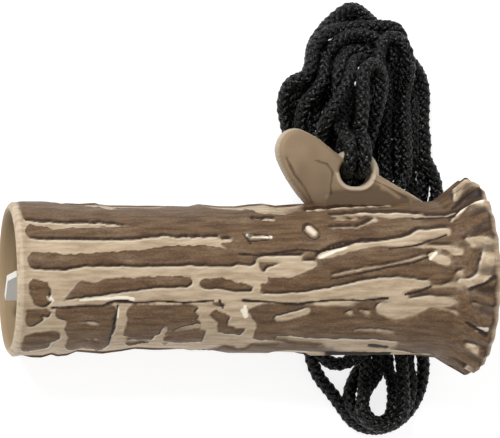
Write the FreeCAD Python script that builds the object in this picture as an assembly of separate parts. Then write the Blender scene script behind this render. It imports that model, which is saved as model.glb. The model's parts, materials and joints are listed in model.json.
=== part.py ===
"""Grunt tube call shaped like an antler beam: a two-part moulded tube with a burr and a tine,
a pull-out mouthpiece with its reed, and a braided lanyard that lies in a loose bundle.

Millimetres. The call is modelled along its own axis: X runs from the open end (0) to the burr,
Y towards the tine, Z up through the parting plane. It is then laid on the table, where it rests on
the rim of its open end and on the burr, so its axis leans by a few degrees. The finished frame is
+X towards the burr, +Y towards the tine and +Z up, with the origin under the middle of the call.
"""
import FreeCAD
import Part

import math
import os
from FreeCAD import Rotation, Vector

# Tube and burr
OPEN_RIM_R = 19.0        # outer radius of the collar at the open end
COLLAR_LENGTH = 14.0
NOSE_ROUND = 0.8         # bevel of the open end's lip
TUBE_R = 18.7            # mean radius of the beam behind the collar
NECK_R = 19.0            # the beam thickens a little towards the burr
NECK_START = 77.0
FLARE_START = 110.5
BURR_R = 25.8            # radius over the burr's ridges
BURR_X = 119.6           # where the burr is widest
BURR_END = 121.6
FACE_X = 119.2           # the dished face inside the burr's rim
BEAM_PROFILE = [         # (x, outer radius) from the collar to the burr's widest point
    (20.0, TUBE_R), (71.0, TUBE_R), (80.0, NECK_R), (108.5, 19.2), (113.5, 21.2), (117.6, 25.1),
    (BURR_X, BURR_R),
]
BURR_LIP = [             # over the burr's rim and down to its dished face
    (121.2, 24.4), (BURR_END, 23.2), (121.0, 21.0), (FACE_X, 19.0),
]
WALL = 2.1
BURR_RIDGES = 28
GROOVE_R = 1.5
GROOVE_FOOT = (109.5, 20.9)  # a groove's middle line as (x, radius): it starts clear of the neck
GROOVE_TIP = (123.6, 29.1)   # and leaves past the rim, a little over one radius proud of it

# Sleeve that holds the mouthpiece
SLEEVE_START = 84.0
SLEEVE_BORE_R = 11.0
SLEEVE_R = 13.2
WEB = 2.4                # thickness of the disc between sleeve and tube, and of the end wall
END_BAY = (6.0, 1.5)     # the bay before the end wall widens by this radius over this length

# Seam between the two half shells
SEAM_RIB_R = 19.9        # the seam stands proud as a thin rib on the thick part of the beam
SEAM_RIB_HALF = 0.8
SEAM_RIB_ROOT = 17.5
TONGUE = 0.7
TONGUE_OUT = 17.75       # radius of the tongues' middle, near the middle of the wall
TONGUE_FIT = 0.05
TONGUE_LENGTH = 60.0
TONGUE_START = 12.0

# Tine with the lanyard eye
TINE_THICKNESS = 5.6
TINE_ROUND = 1.8
TINE_OUTLINE = [         # from its root at the open end's side, over the tip, to the end of the web
    (79.8, 16.5), (75.9, 19.5), (71.6, 25.2), (68.9, 30.8), (69.0, 34.6), (71.0, 37.3), (74.2, 38.1),
    (79.0, 36.0), (82.7, 33.3), (86.0, 30.9), (92.8, 27.8), (99.7, 24.0), (106.0, 20.4), (111.5, 16.8),
]
EYE_X, EYE_Y = 89.2, 26.8
EYE_R = 3.5
EYE_SHIFT = 0.8          # half the distance between the two arcs of the oval eye
EYE_WALL = 2.3
EYE_THICKNESS = 4.4
EYE_LIP = 1.1
EYE_LIP_PROUD = 0.5
EYE_LIP_TOP = 27.8       # the lip stops here, where the cord lies over the bridge

# Mouthpiece and seals
FLANGE_R = 13.0
FLANGE_LENGTH = 3.2
FLANGE_BACK_BEVEL = 0.4
FLANGE_FRONT_BEVEL = (1.2, 1.6)
BARREL_R = 10.92
BARREL_BEVEL = 0.5
BARREL_START = 60.0
BLOW_BORE_R = 6.0
BLOW_BORE_LENGTH = 26.0
THROAT_R = 5.4           # between the blow bore and the carrier's pocket
POCKET_R = 8.5
POCKET_LENGTH = 19.0
SEAL_SECTION_R = 0.9
SEAL_OUTER_R = 10.97
SEAL_SEAT_SIDE = 0.12    # room beside a ring in its groove
SEAL_SEAT_DEPTH = 0.05   # and under it
SEAL_X = (91.0, 114.0)

# Reed carrier, in its own roll about the call's axis
CARRIER_ROLL = 42.7      # degrees about X
CARRIER_PLUG = (62.0, 78.0)
CARRIER_TIP = 0.3
CARRIER_SIDE = (-8.8, -0.4)
CARRIER_DEPTH = 3.4
CARRIER_TIP_DROP = 1.35  # how far the lay falls away under the reed's tip
LAY_START = 57.0
CHANNEL_SIDE = (-6.8, -2.4)
CHANNEL_DEPTH = 2.1
CHANNEL_END = 4.5
TIP_BEVEL = 2.4          # cut off the board's free corner
WEDGE_SLOT_TOP = 3.2
WEDGE_X = (60.5, 70.0)
WEDGE_SIDE = (-7.5, -0.6)
WEDGE_NOSE = (2.5, 0.8)  # length of the tapered nose and the height left at its tip

REED_SIDE = (-8.1, -1.1)
REED_X = (3.0, 64.0)
REED_LIFT = 0.2
REED_THICKNESS = 0.35
REED_CORNER_R = 1.5
WEDGE_GAP = 0.2

RING_X = 36.0
RING_WIDTH = 1.8
RING_SECTION = 1.4
RING_FIT = 0.1
RING_TOP = 1.6
RING_CORNER_R = 2.3

# Lanyard
CORD_D = 3.5
LAYER = 3.6              # height of one layer of cord in the bundle
HITCH_LOOP_R = 4.6
HITCH_X = (87.3, 91.1)
HITCH_Y = 31.6
KNOT_R = 4.4
KNOT = (79.5, 29.0, 15.0)
EDGE_MATCH = 1e-6        # tolerance when edges are picked by where they lie
PAST = 1.0               # how far a cutting tool reaches past the face it cuts
FAR = 150.0              # larger than anything here


# ---- small helpers -------------------------------------------------------------------------

def vec(x, y, z=0.0):
    return Vector(x, y, z)


def revolve(profile):
    """A solid of revolution about the X axis from (x, radius) corners."""
    wire = Part.makePolygon([vec(x, r) for x, r in profile + profile[:1]])
    return Part.Face(wire).revolve(vec(0, 0), vec(1, 0), 360)


def disc(x0, x1, r, y=0.0, z=0.0):
    return Part.makeCylinder(r, x1 - x0, vec(x0, y, z), vec(1, 0))


def block(x, y, z):
    """A box from three (low, high) pairs."""
    return Part.makeBox(x[1] - x[0], y[1] - y[0], z[1] - z[0], vec(x[0], y[0], z[0]))


def closed_spline(points):
    curve = Part.BSplineCurve()
    curve.interpolate(Points=[vec(*p) for p in points], PeriodicFlag=True)
    return Part.Wire(curve.toShape())


def plate(wire, low, high):
    """A flat plate between two heights, from a wire in the XY plane."""
    face = Part.Face(wire)
    face.translate(vec(0, 0, low))
    return face.extrude(vec(0, 0, high - low))


def oval(r, low, high):
    """The eye's oval: two arcs side by side along X, joined by straight sides."""
    ends = [Part.makeCylinder(r, high - low, vec(EYE_X + s, EYE_Y, low)) for s in (-EYE_SHIFT, EYE_SHIFT)]
    middle = block((EYE_X - EYE_SHIFT, EYE_X + EYE_SHIFT), (EYE_Y - r, EYE_Y + r), (low, high))
    return middle.fuse(ends).removeSplitter()


# ---- half shells ---------------------------------------------------------------------------

def beam_and_burr():
    """The solid outer form, with the burr's radial grooves cut in."""
    collar = [(0, 0), (0, OPEN_RIM_R - NOSE_ROUND), (NOSE_ROUND, OPEN_RIM_R), (COLLAR_LENGTH, OPEN_RIM_R)]
    body = revolve(collar + BEAM_PROFILE + BURR_LIP + [(FACE_X, 0)])
    foot, tip = vec(*GROOVE_FOOT), vec(*GROOVE_TIP)
    groove = Part.makeCylinder(GROOVE_R, (tip - foot).Length, foot, tip - foot)
    pitch = 360.0 / BURR_RIDGES
    for i in range(BURR_RIDGES):
        turned = groove.copy()
        turned.rotate(vec(0, 0), vec(1, 0), (i + 0.5) * pitch)
        body = body.cut(turned)
    return body


def tine():
    """The tine, the web behind it and the oval eye between them."""
    curve = Part.BSplineCurve()
    curve.interpolate(Points=[vec(*p) for p in TINE_OUTLINE])
    root = Part.makePolygon([vec(*TINE_OUTLINE[-1]), vec(*TINE_OUTLINE[0])])
    half = TINE_THICKNESS / 2
    blade = plate(Part.Wire([curve.toShape()] + root.Edges), -half, half)
    faces_rims = [e for e in blade.Edges if abs(abs(e.CenterOfMass.z) - half) < EDGE_MATCH]
    rims = [e for e in faces_rims if e.CenterOfMass.y > NECK_R]
    blade = blade.makeFillet(TINE_ROUND, rims)
    boss = oval(EYE_R + EYE_WALL, -EYE_THICKNESS / 2, EYE_THICKNESS / 2)
    lip_half = half + EYE_LIP_PROUD
    lip = oval(EYE_R + EYE_LIP, -lip_half, lip_half)
    lip = lip.common(block((0, FAR), (0, EYE_LIP_TOP), (-FAR, FAR)))
    return blade.fuse([boss, lip]).cut(oval(EYE_R, -TINE_THICKNESS, TINE_THICKNESS))


def seam_ribs():
    rib = (-SEAM_RIB_HALF, SEAM_RIB_HALF)
    along = (NECK_START, FLARE_START)
    return [block(along, side, rib) for side in ((SEAM_RIB_ROOT, SEAM_RIB_R), (-SEAM_RIB_R, -SEAM_RIB_ROOT))]


def hollow():
    """The sound chamber, the sleeve's bore and the space between sleeve and shell."""
    inner = OPEN_RIM_R - WALL
    front = SLEEVE_START + WEB
    back = FACE_X - WEB
    widening, growth = END_BAY
    chamber = revolve([(-PAST, 0), (-PAST, inner), (SLEEVE_START, inner), (SLEEVE_START, 0)])
    bay = [(front, SLEEVE_R), (front, inner), (back - widening, inner), (back, inner + growth), (back, SLEEVE_R)]
    around = revolve(bay)
    bore = disc(SLEEVE_START - PAST, BURR_END + PAST, SLEEVE_BORE_R)
    return chamber.fuse([around, bore])


def tongues(growth):
    """Two straight keys on the parting face that line the halves up; growth is the groove's clearance."""
    half = TONGUE / 2 + growth
    along = (TONGUE_START - growth, TONGUE_START + TONGUE_LENGTH + growth)
    middles = (-TONGUE_OUT, TONGUE_OUT)
    return [block(along, (y - half, y + half), (-PAST, TONGUE + growth)) for y in middles]


def half_shells():
    whole = beam_and_burr().fuse([tine()] + seam_ribs()).cut(hollow())
    upper = whole.common(block((-FAR, FAR), (-FAR, FAR), (0, FAR)))
    lower = whole.common(block((-FAR, FAR), (-FAR, FAR), (-FAR, 0)))
    for key in tongues(TONGUE_FIT):
        upper = upper.cut(key)
    lower = lower.fuse(tongues(0.0)).removeSplitter()
    return {"upper_shell": upper.removeSplitter(), "lower_shell": lower}


# ---- mouthpiece and reed -------------------------------------------------------------------

def mouthpiece():
    end = FACE_X + FLANGE_LENGTH
    bevel_length, bevel_depth = FLANGE_FRONT_BEVEL
    body = revolve([
        (BARREL_START, 0), (BARREL_START, BARREL_R - BARREL_BEVEL), (BARREL_START + BARREL_BEVEL, BARREL_R),
        (FACE_X, BARREL_R), (FACE_X, FLANGE_R - FLANGE_BACK_BEVEL), (FACE_X + FLANGE_BACK_BEVEL, FLANGE_R),
        (end - bevel_length, FLANGE_R), (end, FLANGE_R - bevel_depth), (end, 0),
    ])
    pocket_end, bore_start = BARREL_START + POCKET_LENGTH, end - BLOW_BORE_LENGTH
    body = body.cut(disc(bore_start, end + PAST, BLOW_BORE_R))
    body = body.cut(disc(pocket_end - PAST, bore_start + PAST, THROAT_R))
    body = body.cut(disc(BARREL_START - PAST, pocket_end, POCKET_R))
    half_width = SEAL_SECTION_R + SEAL_SEAT_SIDE
    seat_r = SEAL_OUTER_R - 2 * SEAL_SECTION_R - SEAL_SEAT_DEPTH
    for x in SEAL_X:
        along = (x - half_width, x + half_width)
        body = body.cut(disc(*along, BARREL_R + PAST).cut(disc(*along, seat_r)))
    return body


def seal_ring(x):
    return Part.makeTorus(SEAL_OUTER_R - SEAL_SECTION_R, SEAL_SECTION_R, vec(x, 0), vec(1, 0))


def rolled(shape):
    """Turns a piece of the reed assembly from its own upright position into the carrier's roll."""
    shape.rotate(vec(0, 0), vec(1, 0), CARRIER_ROLL)
    return shape


def reed_carrier():
    """Round plug and a long board with an air channel; the board's top falls away as the reed's lay."""
    low, high = CARRIER_SIDE
    plug_start, plug_end = CARRIER_PLUG
    root = plug_start + PAST
    lay = Part.Face(Part.makePolygon([vec(x, low, z) for x, z in [
        (CARRIER_TIP, -CARRIER_DEPTH), (root, -CARRIER_DEPTH), (root, 0), (LAY_START, 0),
        (CARRIER_TIP, -CARRIER_TIP_DROP), (CARRIER_TIP, -CARRIER_DEPTH),
    ]]))
    board = lay.extrude(vec(0, high - low, 0))
    before, outside = CARRIER_TIP - PAST, high + PAST
    corner = Part.Face(Part.makePolygon([vec(x, y, -POCKET_R) for x, y in [
        (before, outside), (before, high - TIP_BEVEL), (CARRIER_TIP + TIP_BEVEL + PAST, outside),
        (before, outside),
    ]])).extrude(vec(0, 0, 2 * POCKET_R))
    plug = disc(plug_start, plug_end, POCKET_R)
    channel = block((CHANNEL_END, plug_end + PAST), CHANNEL_SIDE, (-CHANNEL_DEPTH, 0))
    open_top = block((CHANNEL_END, plug_start), CHANNEL_SIDE, (-CHANNEL_DEPTH, PAST))
    slot = block((plug_start - PAST, WEDGE_X[1]), (-POCKET_R - PAST, high), (0, WEDGE_SLOT_TOP))
    return rolled(plug.fuse(board.cut(corner)).cut([channel, open_top, slot]).removeSplitter())


def reed():
    top = REED_LIFT + REED_THICKNESS
    strip = block(REED_X, REED_SIDE, (REED_LIFT, top))
    front = [e for e in strip.Edges if abs(e.CenterOfMass.x - REED_X[0]) < EDGE_MATCH]
    corners = [e for e in front if abs(e.Length - REED_THICKNESS) < EDGE_MATCH]
    return rolled(strip.makeFillet(REED_CORNER_R, corners))


def reed_wedge():
    """A block with a tapered nose that fills the slot above the reed's tail."""
    low, high = WEDGE_SIDE
    start, end = WEDGE_X
    base = REED_LIFT + REED_THICKNESS + WEDGE_GAP
    nose_length, nose_height = WEDGE_NOSE
    side = Part.Face(Part.makePolygon([vec(x, low, z) for x, z in [
        (start, base), (end, base), (end, WEDGE_SLOT_TOP), (start + nose_length, WEDGE_SLOT_TOP),
        (start, base + nose_height), (start, base),
    ]]))
    return rolled(side.extrude(vec(0, high - low, 0)))


def tuning_ring():
    """A rubber band round the board and the reed, with room for the reed to open."""
    low, high = CARRIER_SIDE[0] - RING_FIT, CARRIER_SIDE[1] + RING_FIT
    base, top = -CARRIER_DEPTH - RING_FIT, RING_TOP
    along = (RING_X - RING_WIDTH / 2, RING_X + RING_WIDTH / 2)
    outer = block(along, (low - RING_SECTION, high + RING_SECTION), (base - RING_SECTION, top + RING_SECTION))
    lengthways = [e for e in outer.Edges if abs(e.Length - RING_WIDTH) < EDGE_MATCH]
    outer = outer.makeFillet(RING_CORNER_R, lengthways)
    inner = block((along[0] - PAST, along[1] + PAST), (low, high), (base, top))
    return rolled(outer.cut(inner))


# ---- laying the call on the table -----------------------------------------------------------

LEAN = math.degrees(math.atan2(BURR_R - OPEN_RIM_R, BURR_X))


def stand(shapes):
    """The move from the call's own axes to the table: lean by LEAN, then centre the call on the origin."""
    lean = FreeCAD.Placement(vec(0, 0), Rotation(vec(0, 1), -LEAN))
    whole = Part.makeCompound([s.copy() for s in shapes])
    whole.Placement = lean
    box = whole.optimalBoundingBox(False)
    move = vec(-(box.XMin + box.XMax) / 2, -(box.YMin + box.YMax) / 2, -box.ZMin)
    return FreeCAD.Placement(move, lean.Rotation)


# ---- lanyard, laid out on the table in the call's X and Y, with heights above the table ------

# Outline of the bundle, going round from the tine's side.
BUNDLE = [
    (75.5, 0.0), (76.0, 12.0), (75.0, 24.0), (73.0, 36.0), (71.6, 46.0), (76.0, 53.0), (80.5, 61.0), (86.5, 68.0),
    (92.5, 71.8), (99.0, 68.6), (105.5, 66.6), (108.6, 59.5), (112.2, 52.0), (114.4, 41.0), (114.6, 29.0),
    (113.4, 19.0), (110.6, 10.0), (109.0, 0.0), (111.0, -11.0), (113.8, -22.0), (112.8, -31.0), (109.0, -38.2),
    (99.5, -41.8), (91.5, -38.4), (85.5, -30.6), (81.0, -22.0), (77.5, -11.0),
]
UNDER_TUBE = 11.8        # nearer the axis than this only one layer fits under the tube
BESIDE_TUBE = 15.8       # nearer than this only two, on the tine's side
UPPER_LAYERS = 3
LOWER_LAYERS = 2
BEND_SHARE = 0.45        # how much of each run between two corners one bend takes up

LEADS = {
    "lanyard_lead_out": [(87.3, 36.4, 22.6), (86.6, 42.0, 17.0), (84.8, 48.6, 13.2), (82.6, 55.0, 12.8)],
    "lanyard_lead_in": [(91.1, 36.4, 22.6), (91.0, 42.0, 17.0), (90.6, 48.0, 13.4), (91.2, 53.0, 12.8)],
}


def bundle():
    """The loose turns of cord as one solid: a single layer under the tube and a pile on either side."""
    wire = closed_spline(BUNDLE)
    solid = plate(wire, 0, LAYER)
    steps = [
        ((UNDER_TUBE, FAR), LOWER_LAYERS), ((-FAR, -UNDER_TUBE), LOWER_LAYERS),
        ((BESIDE_TUBE, FAR), UPPER_LAYERS),
    ]
    for across, layers in steps:
        pile = plate(wire, 0, layers * LAYER)
        solid = solid.fuse(pile.common(block((0, FAR), across, (-PAST, FAR))))
    return solid.removeSplitter()


def tube_path(points):
    """Straight runs joined by tangent arcs: returns the wire, its length and the arcs' radii."""
    points = [vec(*p) for p in points]
    edges, radii, start = [], [], points[0]
    for before, corner, after in zip(points, points[1:], points[2:]):
        into, out = corner - before, after - corner
        half_turn = into.getAngle(out) / 2
        cut = BEND_SHARE * min(into.Length, out.Length)
        radii.append(cut / math.tan(half_turn))
        into.normalize()
        out.normalize()
        begin, end = corner - into * cut, corner + out * cut
        inward = out - into
        inward.normalize()
        middle = corner + inward * (radii[-1] / math.cos(half_turn) - radii[-1])
        edges.append(Part.LineSegment(start, begin).toShape())
        edges.append(Part.Arc(begin, middle, end).toShape())
        start = end
    edges.append(Part.LineSegment(start, points[-1]).toShape())
    wire = Part.Wire(edges)
    return wire, wire.Length, radii


def cord_tube(name, points):
    wire, length, radii = tube_path(points)
    heading = vec(*points[1]) - vec(*points[0])
    section = Part.Wire(Part.makeCircle(CORD_D / 2, vec(*points[0]), heading))
    tube = wire.makePipeShell([section], True, False)
    expected = math.pi * CORD_D ** 2 / 4 * length
    print(f"{name}: {length:.1f} mm, radii {[round(r, 1) for r in radii]}, volume {tube.Volume / expected:.3f}")
    return tube


def hitch(at):
    """Two turns of cord side by side, through the eye and round the bridge over it."""
    loops = [Part.makeTorus(HITCH_LOOP_R, CORD_D / 2, vec(x, HITCH_Y), vec(1, 0)) for x in HITCH_X]
    for loop in loops:
        loop.Placement = at.multiply(loop.Placement)
    return Part.makeCompound(loops)


def lanyard(at):
    """The cord's solids. Their X and Y are the call's own, so they only move with its centre."""
    slide = vec(at.Base.x, at.Base.y, 0)
    solids = {"lanyard_coil": bundle()}
    for name, points in LEADS.items():
        solids[name] = cord_tube(name, points)
    solids["lanyard_knot"] = Part.makeSphere(KNOT_R, vec(*KNOT))
    for solid in solids.values():
        solid.translate(slide)
    solids["lanyard_hitch"] = hitch(at)
    return solids


def main():
    os.makedirs("parts", exist_ok=True)
    nodes = half_shells()
    nodes["mouthpiece"] = mouthpiece()
    nodes["rear_seal_ring"], nodes["front_seal_ring"] = [seal_ring(x) for x in SEAL_X]
    nodes["reed_carrier"] = reed_carrier()
    nodes["reed"] = reed()
    nodes["reed_wedge"] = reed_wedge()
    nodes["tuning_ring"] = tuning_ring()
    at = stand(list(nodes.values()))
    for shape in nodes.values():
        shape.Placement = at.multiply(shape.Placement)
    nodes.update(lanyard(at))
    for name, shape in nodes.items():
        shape.exportStep(f"parts/{name}.step")
        box = shape.optimalBoundingBox(False)
        print(f"{name}: valid {shape.isValid()}, solids {len(shape.Solids)}, {shape.Volume / 1000:.2f} cm3, "
              f"x {box.XMin:.1f}..{box.XMax:.1f} y {box.YMin:.1f}..{box.YMax:.1f} z {box.ZMin:.1f}..{box.ZMax:.1f}")
    print("lean", round(LEAN, 4), "open end", at.Base, "axis", at.Rotation.multVec(vec(1, 0)))


main()
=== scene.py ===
"""Looks of the grunt tube call: the lanyard's loose bundle, the two bark-relief half shells and the
materials of the small parts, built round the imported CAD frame.

Millimetres throughout, in two systems. Call coordinates are the part's own: x from the open end (0)
to the burr, y towards the tine, z up through the parting plane. They lean with the call as it lies.
Table coordinates share x and y with the call and count height from the table.
"""
import json
import math

import bpy
import numpy as np
from mathutils import Matrix, Vector


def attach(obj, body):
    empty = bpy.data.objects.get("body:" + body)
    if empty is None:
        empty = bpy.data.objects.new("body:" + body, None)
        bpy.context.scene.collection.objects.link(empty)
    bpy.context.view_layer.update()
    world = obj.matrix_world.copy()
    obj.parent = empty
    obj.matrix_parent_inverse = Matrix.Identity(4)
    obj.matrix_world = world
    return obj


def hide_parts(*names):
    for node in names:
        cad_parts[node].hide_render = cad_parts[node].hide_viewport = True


MM = 0.001
TUBE_R = 19.0            # radius at which places round the tube are measured
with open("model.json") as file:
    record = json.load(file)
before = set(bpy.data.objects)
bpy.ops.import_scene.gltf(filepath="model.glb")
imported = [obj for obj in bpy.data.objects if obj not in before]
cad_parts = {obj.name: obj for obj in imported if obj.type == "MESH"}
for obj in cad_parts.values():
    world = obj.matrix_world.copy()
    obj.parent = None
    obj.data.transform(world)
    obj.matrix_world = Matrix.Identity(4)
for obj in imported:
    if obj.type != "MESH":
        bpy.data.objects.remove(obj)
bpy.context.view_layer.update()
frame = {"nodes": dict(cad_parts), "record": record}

# ---- frame: the call's own axes, from the record's mounts ----

COLLAR_NOSE = 0.8        # the collar's mount starts behind the rounded lip of the open end

mounts = {m["name"]: m for m in frame["record"]["mounts"]}
collar = mounts["open_end_collar"]
axis = -np.array(collar["axis"])
across = np.array([0.0, 1.0, 0.0])
up = np.array(mounts["lanyard_eye"]["axis"])
open_end = np.array(collar["pos_m"]) / MM - axis * (COLLAR_NOSE + collar["dims"]["length_mm"] / 2)


def from_call(points):
    """Call coordinates in millimetres to the frame's metres."""
    p = np.asarray(points, float)
    return (open_end + p[..., :1] * axis + p[..., 1:2] * across + p[..., 2:3] * up) * MM


def from_table(points):
    """Table coordinates in millimetres to the frame's metres."""
    p = np.asarray(points, float)
    return (p + [open_end[0], open_end[1], 0.0]) * MM


# ---- camera: nearly straight down, a little towards the open end ----

CAMERA_AT = (-93.6, 15.0, 711.0)
CAMERA_TARGET = (62.0, 15.0, 0.0)
LENS = 205.8


def add_camera():
    """The camera, turned so that the call's own y points up in its picture."""
    data = bpy.data.cameras.new("camera")
    data.lens = LENS
    camera = bpy.data.objects.new("camera", data)
    place, target = from_call(CAMERA_AT), from_call(CAMERA_TARGET)
    back = (place - target) / np.linalg.norm(place - target)
    right = np.cross(across, back)
    camera.matrix_world = Matrix([(*row, at) for row, at in zip(np.array([right, across, back]).T, place)]
                                 + [(0, 0, 0, 1)])
    bpy.context.collection.objects.link(camera)
    bpy.context.scene.camera = camera


# ---- lanyard ----

CORD_D = 3.5
HITCH_X = (87.3, 91.1)   # where the hitch's two loops go round the bridge of the eye
HITCH_Y = 31.6
POINT_STEP = 5.0         # spacing of the route's points in the bundle
SETTLE_STEP = 1.25
OWN_TURN = 3             # a strand doesn't rest on the cord just before it, within this many diameters
CROWN = 0.2              # the braid's crowns stand this much proud of the cord's nominal radius
HUMP_R = 11.0            # how tightly a strand bends over the one below
HUMP_STEPS = 8           # settling steps over which it can start to rise

# The strands that rise from the bundle to the eye, in table coordinates.
LEAD_OUT = [(87.3, 36.4, 22.6), (87.0, 40.6, 16.0), (86.0, 45.6, 9.4), (84.8, 51.0, 4.6)]
LEAD_IN = [(91.2, 46.6, 25.2), (91.2, 41.6, 24.6), (91.1, 36.4, 22.6)]

# The loose turns as arcs: centre x and y, radii along x and y, first and last angle in degrees.
# Straight runs join them. Where the angles fall, the cord turns clockwise.
BUNDLE = [
    # slack that lies under the rest on the tine's side, to and fro
    (93.5, 55.0, 8.8, 13.5, 175, 0), (109.2, 23.0, 6.4, 9.0, 180, 360), (106.0, 49.0, 8.2, 8.6, 0, 180),
    (94.2, 27.0, 4.0, 5.0, 0, -180), (86.4, 52.6, 4.1, 8.8, 0, 180), (86.0, 38.0, 3.8, 5.0, 180, 350),
    (95.0, 50.0, 6.0, 11.2, 180, 20), (99.8, 27.0, 5.6, 5.0, 0, -180), (90.2, 45.0, 3.8, 7.0, 0, 180),
    (82.2, 36.0, 4.1, 5.0, 0, -180), (84.2, 44.0, 6.4, 12.0, 195, 160),
    # first turn: over the top, round the far bottom and back as the single strand at the left
    (92.4, 56.0, 10.6, 10.5, 185, 130), (94.7, 67.0, 4.6, 4.2, 160, 15), (105.6, 49.0, 9.0, 9.0, 60, 0),
    (106.6, 35.0, 8.4, 10.0, 25, -20), (112.8, 22.4, 6.2, 6.6, 20, -50), (107.0, 0.0, 8.0, 12.0, 25, -30),
    (102.2, -24.0, 13.6, 16.8, 20, -118), (100.4, -18.0, 16.5, 16.4, -130, -175),
    (86.0, 0.0, 7.8, 14.0, 205, 150),
    # a short loop folded back on itself under the tine
    (94.6, 38.0, 4.0, 10.0, 205, 170), (86.8, 46.0, 4.1, 6.5, 0, 180), (80.4, 33.0, 2.8, 5.0, 0, -180),
    # second turn: a small end at the left, the upper edge, and the small end at the top right
    (78.8, 47.1, 5.2, 5.1, 200, 75), (91.4, 55.4, 10.6, 9.8, 180, 95), (103.5, 62.2, 3.6, 4.0, 115, -15),
    (99.6, 44.0, 11.6, 14.0, 15, -10), (98.2, 20.0, 13.6, 14.0, 10, -20), (105.3, 0.0, 8.0, 12.0, 20, -30),
    (102.3, -28.0, 9.5, 11.6, 22, -160), (91.6, -20.0, 8.0, 8.0, -50, 0), (99.6, 2.0, 7.0, 12.0, 205, 160),
    # third turn: inside the second, and round the small gap at the bottom
    (89.0, 41.0, 10.8, 18.0, 205, 170), (94.9, 51.4, 11.3, 12.2, 180, 0), (93.8, 26.0, 13.8, 16.0, 15, -20),
    (99.0, 0.0, 6.0, 12.0, 20, -30), (109.9, -24.0, 4.4, 6.0, 170, 215), (101.0, -33.9, 4.8, 5.4, 15, -172),
    (94.0, -24.0, 8.6, 8.0, -20, 20), (103.0, 0.0, 6.0, 12.0, 205, 150),
    # fourth turn: between the second and the third at the bottom
    (94.6, 50.5, 8.4, 9.0, 195, 0), (91.2, 26.0, 12.0, 14.0, 15, -20), (100.6, 0.0, 6.0, 10.0, 20, -30),
    (102.4, -22.0, 5.6, 8.0, 20, -20), (101.1, -33.7, 6.4, 6.0, 15, -165), (90.2, -24.0, 8.5, 8.0, -25, 15),
    (100.0, 0.0, 6.2, 12.0, 200, 150),
    # fifth turn, with its short end just past the tube
    (88.2, 36.0, 5.6, 16.0, 200, 165), (94.4, 50.2, 5.6, 6.9, 170, 0), (89.0, 26.0, 10.0, 12.0, 15, -20),
    (93.0, 0.0, 6.0, 8.0, 20, -20), (91.2, -12.8, 7.8, 10.8, 0, -180), (90.4, 4.0, 6.6, 10.0, 190, 150),
    # last slack: across the pile, down towards the burr and up again
    (102.8, 53.4, 5.0, 9.8, 165, 0), (101.9, 28.0, 5.9, 6.2, 0, -180), (94.6, 50.0, 3.6, 5.4, -10, 150),
]

# The braid: four strands each way round a round cord.
PICK = 2.25              # length of one over and under along the cord
BRAID_STRANDS = 4
STRAND_CENTRE_R = 1.35
STRAND_WAVE = 0.2
STRAND_HALF_WIDTH = 0.74
STRAND_HALF_THICK = 0.37
STRAND_SIDES = 5
STRAND_STEP = PICK / 4   # spacing of the braid's rings along the cord


def arc_points(cx, cy, rx, ry, first, last):
    """Points about POINT_STEP apart along one arc."""
    length = math.radians(abs(last - first)) * (rx + ry) / 2
    angles = np.radians(np.linspace(first, last, max(3, round(length / POINT_STEP) + 1)))
    return np.stack([cx + rx * np.cos(angles), cy + ry * np.sin(angles)], axis=1)


def bundle_plan():
    """The bundle's points in plan: its arcs and the runs between them."""
    rows = []
    for arc in BUNDLE:
        points = arc_points(*arc)
        if rows:
            gap = np.linalg.norm(points[0] - rows[-1][-1])
            count = max(0, round(gap / POINT_STEP) - 1)
            share = np.linspace(0, 1, count + 2)[1:-1, None]
            rows.append(rows[-1][-1] * (1 - share) + points[0] * share)
        rows.append(points)
    return np.concatenate(rows)


def along(points):
    """Distance along a line at each of its points."""
    return np.concatenate([[0], np.cumsum(np.linalg.norm(np.diff(points, axis=0), axis=1))])


def settled_heights(plan, held):
    """Lays the points down in order, on the table or on the strands there; the first ones are held up."""
    place = along(plan)
    fine = np.arange(0, place[-1], SETTLE_STEP)
    xy = np.stack([np.interp(fine, place, plan[:, k]) for k in range(2)], axis=1)
    z = np.full(len(fine), CORD_D / 2 + CROWN)
    # the rest may pass below the lead's high end, so it settles only on the low one
    lead, low = (int((fine < place[len(held) - k]).sum()) for k in (1, 2))
    z[:lead] = np.interp(fine[:lead], place[:len(held)], held)
    skip = round(OWN_TURN * CORD_D / SETTLE_STEP)
    for i in range(lead + skip, len(fine)):
        away = np.linalg.norm(xy[low:i - skip] - xy[i], axis=1)
        near = away < CORD_D
        if near.any():
            z[i] = max(z[i], (z[low:i - skip][near] + np.sqrt(CORD_D ** 2 - away[near] ** 2)).max())
        # a strand can't climb faster than it can bend
        back = np.arange(max(lead, i - HUMP_STEPS), i)
        z[back] = np.maximum(z[back], z[i] - ((i - back) * SETTLE_STEP) ** 2 / (2 * HUMP_R))
    return np.interp(place, fine, z)


def route():
    """Every point of the lanyard's line, from the eye through the bundle and back to the eye."""
    lead = np.array(LEAD_OUT)
    plan = np.concatenate([lead[:, :2], bundle_plan()])
    heights = settled_heights(plan, lead[:, 2])
    return np.concatenate([np.column_stack([plan, heights]), LEAD_IN])


def nurbs(name, points):
    """A smooth open curve that has the points as its control points."""
    data = bpy.data.curves.new(name, "CURVE")
    data.dimensions = "3D"
    data.resolution_u = 12
    spline = data.splines.new("NURBS")
    spline.points.add(len(points) - 1)
    for point, place in zip(spline.points, points):
        point.co = (*place, 1.0)
    spline.order_u = 3
    spline.use_endpoint_u = True
    return data


def line_of(curve):
    """The points down the middle of a curve that has no bevel."""
    bare = bpy.data.objects.new("bare", curve)
    mesh = bpy.data.meshes.new_from_object(bare)
    points = np.array([v.co for v in mesh.vertices], float)
    bpy.data.objects.remove(bare)
    bpy.data.meshes.remove(mesh)
    return points


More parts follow.
